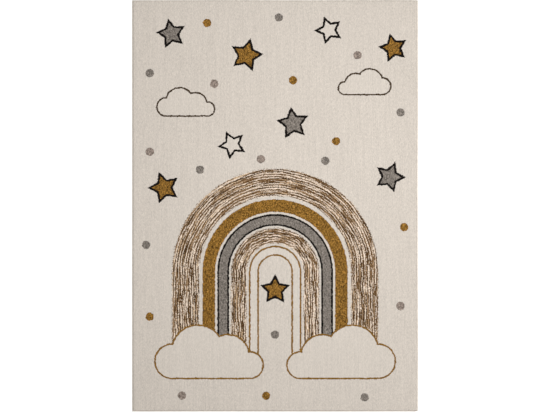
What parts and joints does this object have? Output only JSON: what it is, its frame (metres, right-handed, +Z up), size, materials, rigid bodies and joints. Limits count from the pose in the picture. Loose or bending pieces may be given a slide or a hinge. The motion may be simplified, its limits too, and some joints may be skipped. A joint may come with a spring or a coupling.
{
  "type": "kids rug",
  "caption": "Flat rectangular rug of short cut pile for a child's room, whipped with yarn all round its edge, lying on the floor.",
  "frame": {"origin": "on the floor under the rug's centre", "axes": "+Z up, +Y along the length towards the head of the design, +X to the right as the design is seen from above"},
  "size_m": [1.5998, 2.3, 0.012],
  "materials": {
    "pile": "short dense cut pile, cream ground with a woven design in ochre, browns, greys and near black",
    "overcast_yarn": "thick greige yarn whipped closely over the cut edge"
  },
  "bodies": {
    "root": {"pile_cloth": "pile", "overcast_left": "overcast_yarn", "overcast_right": "overcast_yarn", "overcast_foot": "overcast_yarn", "overcast_head": "overcast_yarn"}
  },
  "joints": []
}
